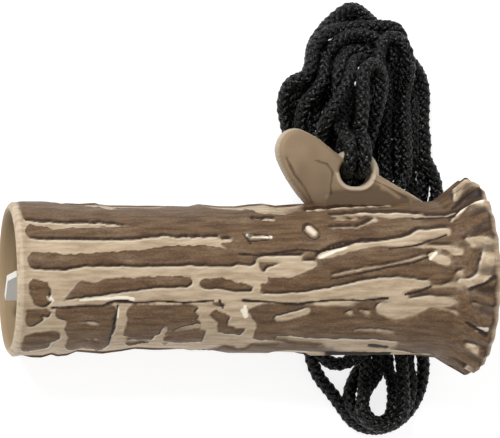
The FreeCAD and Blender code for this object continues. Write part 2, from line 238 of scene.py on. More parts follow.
def mesh_object(name, vertices, faces, body, material):
    """A smooth-shaded mesh piece that rides on a body and takes its finish from a material slot."""
    data = bpy.data.meshes.new(name)
    data.from_pydata([tuple(v) for v in vertices], [], [tuple(f) for f in faces])
    data.polygons.foreach_set("use_smooth", np.ones(len(data.polygons), bool))
    data.materials.append(material)
    piece = bpy.data.objects.new(name, data)
    bpy.context.collection.objects.link(piece)
    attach(piece, body)
    return piece


def moving_frame(centres):
    """Tangents and two turning normals along a line, carried forward without twist."""
    tangents = np.gradient(centres, axis=0)
    tangents /= np.linalg.norm(tangents, axis=1)[:, None]
    side = np.cross(tangents[0], [0.0, 0.0, 1.0])
    sides = []
    for t in tangents:
        side = side - t * (side @ t)
        side = side / np.linalg.norm(side)
        sides.append(side)
    sides = np.array(sides)
    return tangents, sides, np.cross(tangents, sides)


def tube_faces(rings, sides, first):
    """Quads between rings of a closed tube, with a cap at each end."""
    k = np.arange(sides)
    ring = first + np.arange(rings - 1)[:, None] * sides
    after = (k + 1) % sides
    quads = np.stack([ring + k, ring + after, ring + sides + after, ring + sides + k], axis=-1)
    caps = [tuple(first + k[::-1]), tuple(first + (rings - 1) * sides + k)]
    return [tuple(q) for q in quads.reshape(-1, 4)] + caps


def braid(centres):
    """Vertices and faces of a braided cord along evenly spaced centres, in millimetres."""
    tangents, sides, normals = moving_frame(centres)
    place = along(centres)
    vertices, faces = [], []
    around = 2 * np.pi * np.arange(STRAND_SIDES) / STRAND_SIDES
    for way in (1, -1):
        for k in range(BRAID_STRANDS):
            turn = 2 * np.pi * (k / BRAID_STRANDS + way * place / (PICK * BRAID_STRANDS))
            wave = way * np.cos(2 * np.pi * place / PICK)
            out = np.cos(turn)[:, None] * sides + np.sin(turn)[:, None] * normals
            middle = centres + (STRAND_CENTRE_R + STRAND_WAVE * wave)[:, None] * out
            heading = np.gradient(middle, axis=0)
            wide = np.cross(heading, out)
            wide /= np.linalg.norm(wide, axis=1)[:, None]
            ring = (middle[:, None] + STRAND_HALF_THICK * np.cos(around)[None, :, None] * out[:, None]
                    + STRAND_HALF_WIDTH * np.sin(around)[None, :, None] * wide[:, None])
            faces += tube_faces(len(centres), STRAND_SIDES, len(vertices) * len(centres) * STRAND_SIDES)
            vertices.append(ring.reshape(-1, 3))
    return np.concatenate(vertices), faces


def evenly(line, step):
    """The line's points again, a fixed step apart."""
    place = along(line)
    at = np.arange(0, place[-1], step)
    return np.stack([np.interp(at, place, line[:, k]) for k in range(3)], axis=1)


# ---- bark pattern of the shells ----

# Strokes as they lie in plan over the upper half: kind, then (x, y, half-width) along the stroke.
# Brown is raised bark and pale the hollows between; each stroke covers those before it.
BARK = [
    # ground
    ("pale", [(-1, 10, 14.9), (20.5, 4.5, 14.9), (49, 0, 11.9)]),
    ("brown", [(-2, 17.5, 2.4), (13, 16.5, 2.4), (24.5, 15.5, 2.5), (40.5, 14.5, 3.6), (59.5, 14.5, 3.6)]),
    ("brown", [(56, 11.5, 5.3), (69, 11.5, 5.3), (82, 13, 4.9), (100, 15, 4.1), (108, 13, 3.7)]),
    ("brown", [(75.5, 2.5, 4.9), (89.5, 4, 4.5), (106.5, 3, 4.5)]),
    ("brown", [(62.5, -11, 4.9), (81.5, -11.5, 4.5), (99.5, -14, 3.7), (110, -12.5, 4.9),
               (116, -10.5, 6.2)]),
    ("pale", [(-1, -14, 6), (20, -14, 6), (50, -14, 5)]),
    # left end
    ("pale", [(4.5, 14, 0.4), (6, 13.5, 0.6), (12, 13.5, 0.6), (21.5, 14, 0.5), (28, 13.5, 0.2)]),
    ("brown", [(4, 12, 1.7), (8, 11.5, 1.5)]),
    ("brown", [(5.5, 11, 1), (12, 11.5, 1.4), (21.5, 11.5, 1.5), (30, 12, 1.7), (35, 12.5, 1.6)]),
    ("pale", [(0.5, 8.5, 1.5), (11.5, 8.5, 1.6), (21, 8.5, 1.5), (30, 8.5, 1.7), (33.5, 9.5, 1.4),
              (37, 10, 0.6), (45.5, 9.5, 0.4), (53.5, 10, 0.5)]),
    ("brown", [(4.5, 5, 2.1), (11.5, 4.5, 2), (17.5, 5, 1.7), (25.5, 5.5, 1.8), (31, 5.5, 2.1), (39, 6, 2.6),
               (47, 6, 2.8), (58, 5, 1.6)]),
    ("brown", [(5, -1.5, 2.4), (6, -4, 2.6)]),
    ("pale", [(2.5, 1.5, 0.6), (7.5, 0.5, 0.9), (11.5, -0.5, 0.6)]),
    ("pale", [(8.5, -4, 0.7), (11, -1.5, 1.7), (13.5, 1.5, 1.6), (17, 2, 1.7), (20, 1, 1.1), (24, 2, 1.3),
              (29.5, 2, 1), (35, 2.5, 1), (43, 1.5, 2.2), (51, 2, 1.3), (58, 2, 1.3)]),
    ("brown", [(11.5, -5, 0.2), (16, -2.5, 2.3), (19, -2.5, 1.8), (23, -1.5, 2), (29.5, -1, 1.7),
               (35, -0.5, 1.5), (42, -0.5, 1.3)]),
    ("pale", [(8.5, -5.5, 0.2), (14.5, -5, 0.5), (21, -4.5, 0.6), (26.5, -4.5, 0.6), (31, -4, 1.7),
              (39, -4, 1.9), (51, -4, 2), (58, -4, 2.2)]),
    ("brown", [(46.5, -1, 1.2), (51, -1, 1.4), (54.5, -2, 1.1), (58, -2.5, 0.6)]),
    ("brown", [(4, -9.5, 2), (7, -8.2, 1.2)]),
    ("brown", [(3.8, -15.5, 2.3), (9, -14.5, 2.2)]),
    ("brown", [(11, -8.1, 1.6), (15, -8.4, 2.4), (22.4, -8.4, 2.4)]),
    ("brown", [(14.6, -12, 2.4), (22.2, -12.4, 2.6)]),
    ("brown", [(15, -15.8, 2), (21.8, -16.2, 2.2)]),
    ("brown", [(29.4, -8.4, 2.2), (43.4, -8.6, 2.3)]),
    ("brown", [(29.2, -12.4, 2.6), (44, -12, 2.2)]),
    ("brown", [(29.6, -16, 1.4), (33.5, -15.6, 1.4)]),
    ("brown", [(38.5, -16, 1.2), (42, -15.4, 1.6), (47, -14.6, 1.8)]),
    ("brown", [(49, -8.5, 1), (51.5, -10, 1.4), (52, -12.5, 1.2)]),
    ("pale", [(15.5, -10.5, 0.2), (20.5, -11.2, 0.4)]),
    ("pale", [(17.5, -14.9, 0.1), (21, -15.5, 0.35)]),
    ("pale", [(10, -16.5, 1), (12.5, -15.5, 0.7)]),
    ("pale", [(6.5, -9, 0.5), (8, -10.5, 0.5)]),
    ("pale", [(25.5, -7, 0.6), (26.5, -10, 1), (26, -13.5, 1.2), (25, -17, 0.9)]),
    ("pale", [(37.6, -12.4, 0.4), (36.4, -16.2, 1.2)]),
    ("pale", [(40, -13.2, 0.3), (45.5, -12, 0.6)]),
    ("pale", [(45, -8, 0.6), (47, -9, 0.8), (49.5, -6.5, 0.6)]),
    ("pale", [(48.5, -12.5, 0.7), (48.5, -16, 0.6)]),
    # middle
    ("pale", [(54.5, -7.5, 2.4), (55.5, -10.5, 2)]),
    ("pale", [(50, -13.5, 1), (53, -16, 1.2), (59, -16.5, 1.2)]),
    ("brown", [(52, -13, 1), (57, -13, 1.3)]),
    ("brown", [(50.5, -9, 0.8), (52.5, -10, 0.9)]),
    ("brown", [(49, -6, 0.4), (51.5, -6.5, 0.6)]),
    ("pale", [(55.5, 1.5, 2.5), (58.5, 1.5, 2.1), (61.5, 0, 1.2)]),
    ("pale", [(63.5, 2, 1.6), (68, 2.5, 2.1), (72.5, 3.5, 1.3), (74.5, 4, 0.8)]),
    ("brown", [(62.5, -2, 1.1), (68, -1, 1.2), (72, -0.5, 1.4), (74, 0, 1.2)]),
    ("brown", [(55.5, -1.5, 0.6), (58.5, -2, 0.4)]),
    ("pale", [(55.5, -4.5, 1.4), (64, -5, 1.2), (71.5, -4.5, 1.3), (81, -3.5, 1.9), (89.5, -2, 2.3),
              (96, -1.5, 2.2), (103.5, -1, 0.7)]),
    ("pale", [(56, -10, 2.5), (58.5, -12, 2.1), (58, -16, 2.1)]),
    ("brown", [(56.5, -13.5, 1.1), (57, -13, 0.7)]),
    ("pale", [(65.5, -10, 0.7), (68.5, -9.5, 1), (73, -8, 0.8)]),
    ("pale", [(66.5, -15, 0.4), (74, -15.5, 0.5), (83, -16.5, 1.3), (92, -16.5, 1.2), (97.5, -16.5, 0.7)]),
    ("brown", [(73.5, -16.5, 0.2), (76, -16.5, 0.5), (78.5, -16.5, 0.2)]),
    ("pale", [(60.5, 15.5, 0.3), (65.5, 15, 0.4)]),
    # right
    ("pale", [(80.5, 16, 0.2), (90, 16.5, 0.5), (96, 16, 0.8), (101, 16, 0.7), (104.5, 16, 0.3)]),
    ("pale", [(81, 15, 0.2), (87, 15, 0.2)]),
    ("pale", [(79.5, 13, 0.2), (86.5, 13, 0.3), (92, 15, 0.5)]),
    ("pale", [(75.5, 5.5, 0.6), (79.5, 7, 1.3), (83.5, 8, 1.2), (88, 8.5, 0.8), (92, 9, 0.6), (97, 9, 0.9),
              (102.5, 11, 1.4), (109.5, 11.5, 1.2)]),
    ("pale", [(79, 1, 0.2), (86.5, 2.5, 0.2), (93.5, 3.5, 0.2), (100, 5, 0.2), (107, 7, 0.2)]),
    ("pale", [(105, 5.5, 1.1), (108.5, 4.5, 1.4)]),
    ("pale", [(92, -7.5, 1.5), (96, -8, 2.5), (100.5, -7, 2.4), (104, -5.5, 1.6)]),
    ("pale", [(93.5, -4.5, 1), (98, -4.5, 0.8)]),
    ("pale", [(83, -8.5, 0.2), (84, -8.5, 0.7)]),
    ("pale", [(86.5, -8, 0.3), (88.5, -8.5, 0.7)]),
    ("pale", [(86, -13, 0.2), (90.5, -13, 0.4), (96, -13.5, 0.3)]),
    ("pale", [(105.5, -7, 0.2), (110.5, -8, 0.3), (115, -9.5, 0.6), (119.5, -9.5, 0.8)]),
    ("pale", [(101, 16, 0.3), (108, 15.5, 0.3), (113, 15.5, 0.3), (116.5, 17, 0.3), (119, 18, 0.3)]),
    # burr
    ("brown", [(116.5, 22.5, 2.5), (116.5, 11.5, 3.3), (116, -4.5, 3.7), (115.5, -14.5, 4.1)]),
    ("pale", [(114.5, 18, 0.7), (117.5, 19.5, 0.7), (120.5, 18.5, 0.7)]),
    ("pale", [(111.5, 14, 0.2), (113, 15, 0.4), (116, 15.5, 0.4), (120.5, 14.5, 0.4)]),
    ("pale", [(114, 9, 0.7), (115.5, 8, 1.2), (118.5, 7, 1.1), (118, 4, 1.8), (117, 0.5, 1.5), (114, -1, 1),
              (112, -0.5, 0.7)]),
    ("brown", [(114, 6.5, 0.7), (114, 3, 1.2)]),
    ("pale", [(115, -5.5, 0.3), (120.5, -6, 0.5)]),
    ("pale", [(115, -14.5, 0.5), (117.5, -14.5, 0.7)]),
    ("pale", [(117.5, -18.5, 0.3), (119.5, -18, 0.4)]),
    ("pale", [(117.5, -22, 0.3), (119, -22, 0.4)]),
    ("pale", [(115, 23.5, 0.2), (120, 24, 0.3), (120, 22.5, 0.3)]),
    # cracks
    ("crack_and_shade", [(8.5, -7, 0.2), (14.5, -6.5, 0.2), (21, -6.5, 0.2), (24, -5.5, 0.3), (27, -5.5, 0.4),
               (29.5, -6, 0.2), (35, -5.5, 0.2), (41.5, -6, 0.2), (49, -5.5, 0.2)]),
    ("crack_and_shade", [(25, -6.5, 0.2), (24.5, -10.5, 0.3), (24, -14, 0.3), (24, -17, 0.2)]),
    ("crack_and_shade", [(50.5, -5.5, 0.3), (51.5, -7.5, 0.2)]),
    ("crack_and_shade", [(57, 11.5, 0.2), (58.5, 9, 0.2)]),
    ("crack_and_shade", [(55.5, 6.5, 0.2), (60.5, 6, 0.2), (70.5, 7.5, 0.2), (76, 7, 0.2), (82, 8.5, 0.3),
               (87.5, 10, 0.2), (91.5, 10, 0.2)]),
    ("crack_and_shade", [(56.5, -5.5, 0.3), (64, -6, 0.2), (70.5, -6.5, 0.2), (73.5, -6, 0.2), (79, -5.5, 0.2),
               (87, -5.5, 0.2), (93.5, -5, 0.3)]),
    ("crack_and_shade", [(98, -4, 0.3), (102, -3, 0.2), (104.5, -2, 0.2)]),
    ("crack_and_shade", [(78.5, 0, 0.1), (86.5, 1.5, 0.2), (93.5, 3, 0.2), (100, 4, 0.2), (104, 5.5, 0.2)]),
    ("crack_and_shade", [(94, 7.5, 0.2), (101, 8.5, 0.2), (106.5, 10, 0.2), (109.5, 11, 0.2)]),
    ("crack_and_shade", [(101.5, 15, 0.3), (106, 15, 0.3), (112.5, 15, 0.2), (114.5, 16, 0.2)]),
    ("crack_and_shade", [(91, -17, 0.3), (96, -17.5, 0.3)]),
    ("crack_and_shade", [(74, -18, 0.3), (85.5, -19, 0.3), (98.5, -19, 0.2)]),
    ("crack_and_shade", [(112.5, 16.5, 0.2), (115.5, 17, 0.3), (120.5, 16.5, 0.3)]),
    ("crack_and_shade", [(114, -2.5, 0.3), (117, -1, 0.3), (119.5, 0.5, 0.3)]),
    ("crack_and_shade", [(114, -10, 0.2), (118.5, -11, 0.4)]),
    # pale edges low on both sides
    ("pale", [(76.5, -19, 0.3), (87, -19, 0.3), (98.5, -19, 0.3), (109.5, -19, 0.3)]),
    ("pale", [(75, 17.5, 0.3), (85, 18, 0.3), (97.5, 18.5, 0.3)]),
    ("pale", [(25, -17, 0.3), (28.5, -16, 0.3), (37, -16.5, 0.3), (44.5, -17.5, 0.3)]),
    # glints
    ("glint", [(7.5, -4, 0.3), (8.5, -5, 0.4)]),
    ("glint", [(26, -4.5, 0.4), (28.5, -5, 0.5)]),
    ("glint", [(25, -7, 0.3), (25, -9.5, 0.3)]),
    ("glint", [(15.5, -5, 0.2), (25.5, -4.5, 0.3)]),
    ("glint", [(57, -7, 0.3), (57.5, -9.5, 0.5)]),
    ("glint", [(58, 11, 0.3), (64, 10.5, 0.2)]),
    ("glint", [(76, 5.5, 0.3), (79.5, 7, 0.3), (83, 8, 0.2)]),
    ("glint", [(104.5, 5, 0.3), (106, 6.5, 0.3)]),
    ("glint", [(113, 15, 0.2), (116, 15.5, 0.2), (119, 15, 0.2)]),
    ("glint", [(116.5, -10.5, 0.3), (118.5, -10, 0.4)]),
    ("glint", [(56.5, -8, 0.4), (57.5, -9.5, 0.5)]),
    # pearls
    ("pearl", [(74, 12.5, 1.4), (75, 11.5, 1.4)]),
    ("pearl", [(59, 10.5, 0.8), (60, 10.5, 0.7), (63, 10.5, 0.4)]),
]
GROUND = (9, 1.6)        # feature size, along and across the call, of the bark under the strokes
ROUGH = (1.3, 1.1)       # the same for the wander of the strokes' edges
ROUGH_FINE = (0.6, 0.5)
RAGGED = 0.32            # how far a stroke's edge wanders
LINE_RAGGED = 0.12       # the same for cracks and glints
EDGE_SOFT = 0.16
SOFTER_TO_BURR = 0.4     # the pattern is less crisp from the neck on
SOFTER_X = (62, 84)
LOW_EDGE = 1.3           # how strongly painted shade darkens the bark's lower and right edges
RIGHT_EDGE = 1.0
ANY_EDGE = 0.45
WILD_STROKES = 190


def smooth_noise(u, v, seed):
    """Smooth noise between -1 and 1 over the plane, with a feature size of one unit."""
    grid = np.random.default_rng(seed).uniform(-1, 1, (256, 256))
    i, j = np.floor(u).astype(int), np.floor(v).astype(int)
    a, b = u - i, v - j
    a, b = a * a * (3 - 2 * a), b * b * (3 - 2 * b)
    corner = [[grid[(i + p) % 256, (j + q) % 256] for q in range(2)] for p in range(2)]
    low = corner[0][0] * (1 - b) + corner[0][1] * b
    high = corner[1][0] * (1 - b) + corner[1][1] * b
    return low * (1 - a) + high * a


def surface_noise(x, y, size, seed):
    """Smooth noise over a surface, with a feature size along and across."""
    return smooth_noise(x / size[0], y / size[1], seed)


def ramp(value, low, high):
    """Smooth step from 0 at low to 1 at high."""
    t = np.clip((value - low) / (high - low), 0, 1)
    return t * t * (3 - 2 * t)


def beyond(x, y, stroke):
    """Distance from each point to a stroke's edge: negative inside it."""
    best = np.full(x.shape, np.inf)
    for (x0, y0, w0), (x1, y1, w1) in zip(stroke, stroke[1:]):
        dx, dy = x1 - x0, y1 - y0
        t = np.clip(((x - x0) * dx + (y - y0) * dy) / max(dx * dx + dy * dy, 1e-9), 0, 1)
        away = np.hypot(x - x0 - t * dx, y - y0 - t * dy) - (w0 + t * (w1 - w0))
        best = np.minimum(best, away)
    return best


def paint(x, y, strokes, seed):
    """Paints strokes in order: returns how brown, how cracked, how glinting and how raised each point is."""
    brown = ramp(surface_noise(x, y, GROUND, seed) + 0.25, -0.3, 0.3)
    crack_and_shade, glint, pearl = (np.zeros(x.shape) for _ in range(3))
    rough = 0.65 * surface_noise(x, y, ROUGH, seed + 1) + 0.35 * surface_noise(x, y, ROUGH_FINE, seed + 2)
    soft = EDGE_SOFT + SOFTER_TO_BURR * ramp(x, *SOFTER_X)
    for kind, stroke in strokes:
        edge = beyond(x, y, stroke)
        if kind in ("brown", "pale"):
            inside = 1 - ramp(edge + RAGGED * rough, -soft, soft)
            brown = brown * (1 - inside) + (kind == "brown") * inside
        elif kind == "crack_and_shade":
            crack_and_shade = np.maximum(crack_and_shade, 1 - ramp(edge + LINE_RAGGED * rough, -0.1, 0.25))
        elif kind == "glint":
            glint = np.maximum(glint, 1 - ramp(edge + LINE_RAGGED * rough, -0.15, 0.3))
        else:
            # a pearl: a pale bump with a dark ring and a lit top
            inside = 1 - ramp(edge, -0.8, 0.1)
            pearl = np.maximum(pearl, inside)
            brown = brown * (1 - inside)
            crack_and_shade = np.maximum(crack_and_shade * (1 - inside), ramp(edge, -0.1, 0.15) * (1 - ramp(edge, 0.15, 0.5)))
            glint = np.maximum(glint, 0.6 * ramp(-edge, 0.3, 1.2))
    return brown, crack_and_shade, glint, pearl


def blurred(field, times):
    """The field with each point averaged with its neighbours, a few times over."""
    for _ in range(times):
        for way in (0, 1):
            field = (np.roll(field, 1, way) + 2 * field + np.roll(field, -1, way)) / 4
    return field


def edge_shade_and_highlight(brown, x, y):
    """Dark edges of the raised bark, darkest as painted shade on its lower and right ones, and painted
    highlight past those.
    """
    soft = blurred(brown, 2)
    rise = np.gradient(soft, axis=1) / np.maximum(np.gradient(y, axis=1), 0.08)
    fall = -np.gradient(soft, axis=0) / np.gradient(x, axis=0)
    turned = np.clip(LOW_EDGE * rise + RIGHT_EDGE * fall, 0, 1)
    edge_shade_and_outline = np.maximum(turned, ANY_EDGE * np.clip(LOW_EDGE * np.hypot(rise, fall), 0, 1))
    return edge_shade_and_outline * ramp(soft, 0.2, 0.5), turned * ramp(-soft, -0.45, -0.15)


def wild_bark(count, seed):
    """Seeded strokes for the side that lies on the table, in the same style."""
    rng = np.random.default_rng(seed)
    strokes = []
    for _ in range(count):
        kind = "brown" if rng.random() < 0.55 else "pale"
        x, y = rng.uniform(2, 108), rng.uniform(-24, 24)
        length, width = rng.uniform(6, 34), rng.uniform(0.5, 2.6)
        lean = rng.uniform(-0.08, 0.08)
        bend = [(x + length * t, y + lean * length * t + rng.uniform(-0.5, 0.5),
                 width * rng.uniform(0.5, 1.1)) for t in (0, 0.33, 0.66, 1)]
        strokes.append((kind, bend))
        if rng.random() < 0.5:
            strokes.append(("crack_and_shade", [(px, py - w * 0.9, 0.15) for px, py, w in bend]))
    return strokes


# ---- half shells ----

# (x, radius) of the outside along the top, the tine's side and the far side; the sides are lumpier.
TOP_R = [
    (0, 18), (0.4, 18.6), (1.1, 19), (6, 19), (14, 18.9), (18.3, 18.7), (34, 18.6), (65, 18.6), (76, 18.8),
    (94, 19), (105, 19.1), (110.9, 19.7), (113.5, 21), (117.6, 24.6), (119.6, 25.3),
]
TINE_SIDE_R = [
    (0, 18), (0.4, 18.7), (1.1, 19.3), (8, 19.2), (18, 18.7), (22, 18.9), (26, 18.3), (37, 18.2), (46, 18),
    (48.5, 18.6), (54, 18.1), (58, 18.1), (62, 18.6), (65.5, 18.8), (68.5, 18.2), (74, 18.6), (80, 18.9),
    (94, 19), (105, 19.1), (110.5, 19.4), (112.5, 20.6), (118.8, 25.6), (119.6, 25.6),
]
FAR_SIDE_R = [
    (0, 18), (0.4, 18.7), (1.1, 19.4), (8.5, 19.5), (11, 18.8), (12.5, 19.3), (15, 19.1), (17.3, 18.2),
    (24, 18.7), (28.7, 18.2), (32.3, 17.6), (37, 17.9), (45, 18), (47, 18.5), (52, 18.1), (56, 18.8),
    (64.6, 18.9), (75.9, 19.5), (93.6, 19.8), (105, 20), (110.9, 20.6), (119, 25.3), (119.6, 25.3),
]
# (x, radius) over the burr's rim, then along the inside back to the open end
LIP = [(121.0, 24.5), (121.5, 23.4), (121.2, 22.0), (120.3, 20.6), (119.2, 19.0)]
INNER = [(119.2, 15.0), (119.2, 11.0), (100.0, 11.0), (84.0, 11.0), (84.0, 14.0), (84.0, 16.9), (60.0, 16.9),
         (40.0, 16.9), (20.0, 16.9), (12.0, 16.9), (8.0, 16.9), (5.5, 16.9), (3.0, 16.9), (1.5, 16.9),
         (0.4, 17.1), (0.0, 17.5)]
ROW_STEP = 0.36
COLUMNS = 176
RELIEF = 0.6             # height of the brown bark over the pale hollows
RELIEF_MIDDLE = 0.6      # the brownness at which bark lies on the plain outline
GRAIN_DEPTH = 0.05
CRACK_DEPTH = 0.3
PEARL_RISE = 0.75
BARK_STARTS = (1.2, 3.5)     # from the open end's rim the relief grows over this stretch
BROWN_STARTS = (1.6, 2.7)    # and the brown over this one
RIM_X = 1.1              # where the painted highlight along the rim's edge runs
RIM_HIGHLIGHT = 0.2
EDGE_SHADE_AND_OUTLINE = 0.85             # how dark the bark's edges are, with painted shade on its lower and right ones
EDGE_HIGHLIGHT = 0.5             # and how bright the painted highlight past them
BURR_START = 108.0
BURR_RIM = 119.0
BURR_RIDGES = 28
BURR_GROOVE = 1.5
BURR_GROOVE_SHADE = 0.7          # how dark the painted shade in the grooves between the ridges is
LIP_X = 119.5            # where the rim's ridges are taken from
RIDGED_LIP_R = 19.5      # the ridges run on over the rim down to this radius
LIP_GROOVE = 0.6         # and are this much as deep there
CAD_BURR_R = 25.8
SEAM_X = (77.0, 110.5)   # the parting line's rib along the far side
SEAM_R = 19.9
SEAM_HALF = 0.8
INSIDE_SHADE = 0.8               # how dark the painted shade is on the inside behind the open end
INSIDE_SHADE_FROM = (2.0, 7.5)
INSIDE_SHADE_FADES = (8.0, 20.0)
INSIDE_SHADE_LOSS = 0.75


def burr_ridges(x, turn):
    """How far the bark sinks between the burr's ridges, growing from the neck to the rim."""
    wander = 0.35 * smooth_noise(turn * 3, x / 8, 41) + 0.15 * smooth_noise(turn * 9, x / 3, 42)
    crest = (0.5 + 0.5 * np.cos(turn * BURR_RIDGES + 2 * wander)) ** 1.3
    uneven = 0.75 + 0.25 * smooth_noise(turn * 4, x / 20, 43)
    return BURR_GROOVE * ramp(x, BURR_START, BURR_RIM) * uneven * (1 - crest)


def plain_radius(x, sin):
    """Radius of the outside before its relief."""
    top, tine_side, far_side = (np.interp(x, *zip(*r)) for r in (TOP_R, TINE_SIDE_R, FAR_SIDE_R))
    side = np.where(sin > 0, tine_side, far_side)
    return top + (side - top) * sin ** 4


def tube_fields(x, angle, sunk, lower):
    """How brown, glinting and raised the outside is, and how dark from cracks and painted shade; sunk is the
    depth between the burr's ridges.
    """
    if lower:
        y = TUBE_R * (angle - np.pi)
        brown, crack_and_shade, glint, pearl = paint(x, y, wild_bark(WILD_STROKES, 7), 70)
    else:
        y = TUBE_R * np.sin(angle)
        brown, crack_and_shade, glint, pearl = paint(x, y, BARK, 30)
    brown = brown * ramp(x, BROWN_STARTS[0] + 0.5 * smooth_noise(angle * 6, x / 9, 60), BROWN_STARTS[1])
    # painted shade on the bark's lower and right edges, and a painted highlight past them
    edge_shade_and_outline, painted_highlight = edge_shade_and_highlight(brown, x, y)
    crack_and_shade = np.maximum(crack_and_shade, EDGE_SHADE_AND_OUTLINE * edge_shade_and_outline)
    # painted shade in the grooves between the burr's ridges
    crack_and_shade = np.maximum(crack_and_shade, BURR_GROOVE_SHADE * ramp(sunk, 0.4, 1.2))
    glint = np.maximum(glint, EDGE_HIGHLIGHT * painted_highlight)
    # painted highlight round the rim of the open end
    glint = np.maximum(glint, RIM_HIGHLIGHT * (1 - ramp(np.abs(x - RIM_X), 0.3, 0.8)))
    return brown, crack_and_shade, glint, pearl


def with_seam(radius, x, sin, cos):
    """Raises the radius to the parting line's straight rib, on the far side of the neck."""
    seam = 1 - ramp(np.abs(cos) * TUBE_R, SEAM_HALF - 0.4, SEAM_HALF + 0.5)
    on_neck = ramp(x, SEAM_X[0] - 1, SEAM_X[0] + 1) * (1 - ramp(x, SEAM_X[1] - 2, SEAM_X[1] + 2))
    return radius + seam * on_neck * np.maximum(SEAM_R - radius, 0) * (sin < 0)


def inner_rows(turn):
    """Rows of points over the burr's rim and along the inside."""
    ridges = LIP_GROOVE * burr_ridges(np.full(COLUMNS, LIP_X), turn)
    rows = []
    for x, radius in LIP + INNER:
        r = radius - ridges * (radius > RIDGED_LIP_R)
        rows.append(np.stack([np.full(COLUMNS, x), r * np.sin(turn), r * np.cos(turn)], axis=-1))
    return np.stack(rows)


def swept_faces(rows):
    """Quads between the columns of a closed section of so many rows, with a flat face at both ends."""
    index = np.arange(rows * COLUMNS).reshape(rows, COLUMNS)
    wrapped = np.concatenate([index, index[:1]])
    quads = np.stack([wrapped[:-1, :-1], wrapped[:-1, 1:], wrapped[1:, 1:], wrapped[1:, :-1]], axis=-1)
    return [tuple(q) for q in quads.reshape(-1, 4)] + [tuple(index[:, 0]), tuple(index[::-1, -1])]


def half_tube(lower):
    """Vertices, faces and pattern fields of one half of the tube and burr."""
    turn = np.linspace(-np.pi / 2, np.pi / 2, COLUMNS) + (np.pi if lower else 0)
    x, angle = np.meshgrid(np.arange(0, TOP_R[-1][0], ROW_STEP), turn, indexing="ij")
    sin, cos = np.sin(angle), np.cos(angle)
    sunk = burr_ridges(x, angle)
    brown, crack_and_shade, glint, pearl = tube_fields(x, angle, sunk, lower)
    fibres = smooth_noise(x / 3.0, angle * TUBE_R / 0.8, 50 + lower)
    relief = RELIEF * (brown - RELIEF_MIDDLE) - CRACK_DEPTH * crack_and_shade + GRAIN_DEPTH * fibres
    radius = plain_radius(x, sin) + ramp(x, *BARK_STARTS) * relief + PEARL_RISE * pearl - sunk
    radius = np.minimum(with_seam(radius, x, sin, cos), CAD_BURR_R)
    outer = np.stack([x, radius * sin, radius * cos], axis=-1)
    vertices = np.concatenate([outer, inner_rows(turn)])
    inside = np.zeros(vertices.shape[:2])
    inside[len(outer) + len(LIP):] = 1
    bare = np.zeros((len(vertices) - len(outer), COLUMNS))
    brown, crack_and_shade, glint = (np.concatenate([field, bare]) for field in (brown, crack_and_shade, glint))
    deep = vertices[..., 0]
    # painted shade inside the bore, growing from the open end and fading deeper in
    inside_shade = INSIDE_SHADE * ramp(deep, *INSIDE_SHADE_FROM) * (1 - INSIDE_SHADE_LOSS * ramp(deep, *INSIDE_SHADE_FADES))
    crack_and_shade = np.maximum(crack_and_shade, inside_shade * inside)
    fields = [field.ravel() for field in (brown, crack_and_shade, glint, inside)]
    return vertices.reshape(-1, 3), swept_faces(len(vertices)), fields


# ---- tine ----

TINE_OUTLINE = [         # from its root at the open end's side, over the tip, to the end of the web
    (79.8, 16.5), (75.9, 19.5), (71.6, 25.2), (68.9, 30.8), (69.0, 34.6), (71.0, 37.3), (74.2, 38.1),
    (79.0, 36.0), (82.7, 33.3), (86.0, 30.9), (92.8, 27.8), (99.7, 24.0), (106.0, 20.4), (111.5, 16.8),
]
TINE_HALF = 2.8
TINE_ROUND = 1.8
EYE = (89.2, 26.8)
EYE_R = 3.5
EYE_SHIFT = 0.8          # half the straight part of the oval
EYE_WALL = 2.3
EYE_WALL_HALF = 2.2
EYE_WALL_ROUND = 1.6
EYE_EDGE = 0.6           # how far the wall rolls down into the eye
EYE_LIP = 1.1            # width of the raised lip round the eye, which ends at this y
EYE_LIP_PROUD = 0.5
EYE_LIP_TOP = 27.4
TINE_STEP = 0.36
TINE_RIM = 0.7           # the least half thickness at the outline
GROOVE_DEPTH = 0.25
TINE_GROOVE = [(71, 30.5, 0.2), (72, 28.5, 0.4), (73, 26.5, 0.3), (76, 22.5, 0.2), (78, 18.5, 0.2)]
TINE_MARKS = [
    ("brown", [(83.5, 20, 2.1), (89, 20.5, 2.5), (94.5, 20.5, 2.5), (102.5, 19.5, 1.2)]),
    ("brown", [(88.5, 21, 0.7), (92.5, 22.5, 0.7), (95, 23, 0.8)]),
    ("pale", [(92, 26.5, 0.3), (95, 25, 0.3), (100, 22.5, 0.3), (105.5, 20.5, 0.3)]),
    ("pale", [(94.5, 24.5, 0.2), (97.5, 22.5, 0.2), (100.5, 20.5, 0.2)]),
    ("crack_and_shade", [(93.5, 25, 0.1), (97, 23.5, 0.2), (102.5, 20.5, 0.2)]),
    ("crack_and_shade", TINE_GROOVE),
    ("crack_and_shade", [(78.5, 30, 0.1), (81.5, 29, 0.3), (83, 27, 0.2), (82.5, 23.5, 0.1), (82.5, 21.5, 0.3)]),
    ("glint", [(69.2, 29.5, 0.1), (71.5, 24.8, 0.1), (75.5, 19.5, 0.1)]),
]
TINE_FINISH = 0.5        # the tine's value of "smooth": the bark's is 0 and the inside's 1
TINE_BROWN = 0.85        # how strong the tine's marks are beside the tube's
TINE_CRACK = 0.65
TINE_GLINT = 0.35
TINE_EDGE_GLINT = 0.3
TINE_PLAIN = 0.2         # how brown the plain plastic is at the tip
TINE_SHADES = [(0.2, 34, 26), (0.4, 24, 19)]    # how much browner it gets, and from which y to which
TINE_BLOTCHES = 0.14


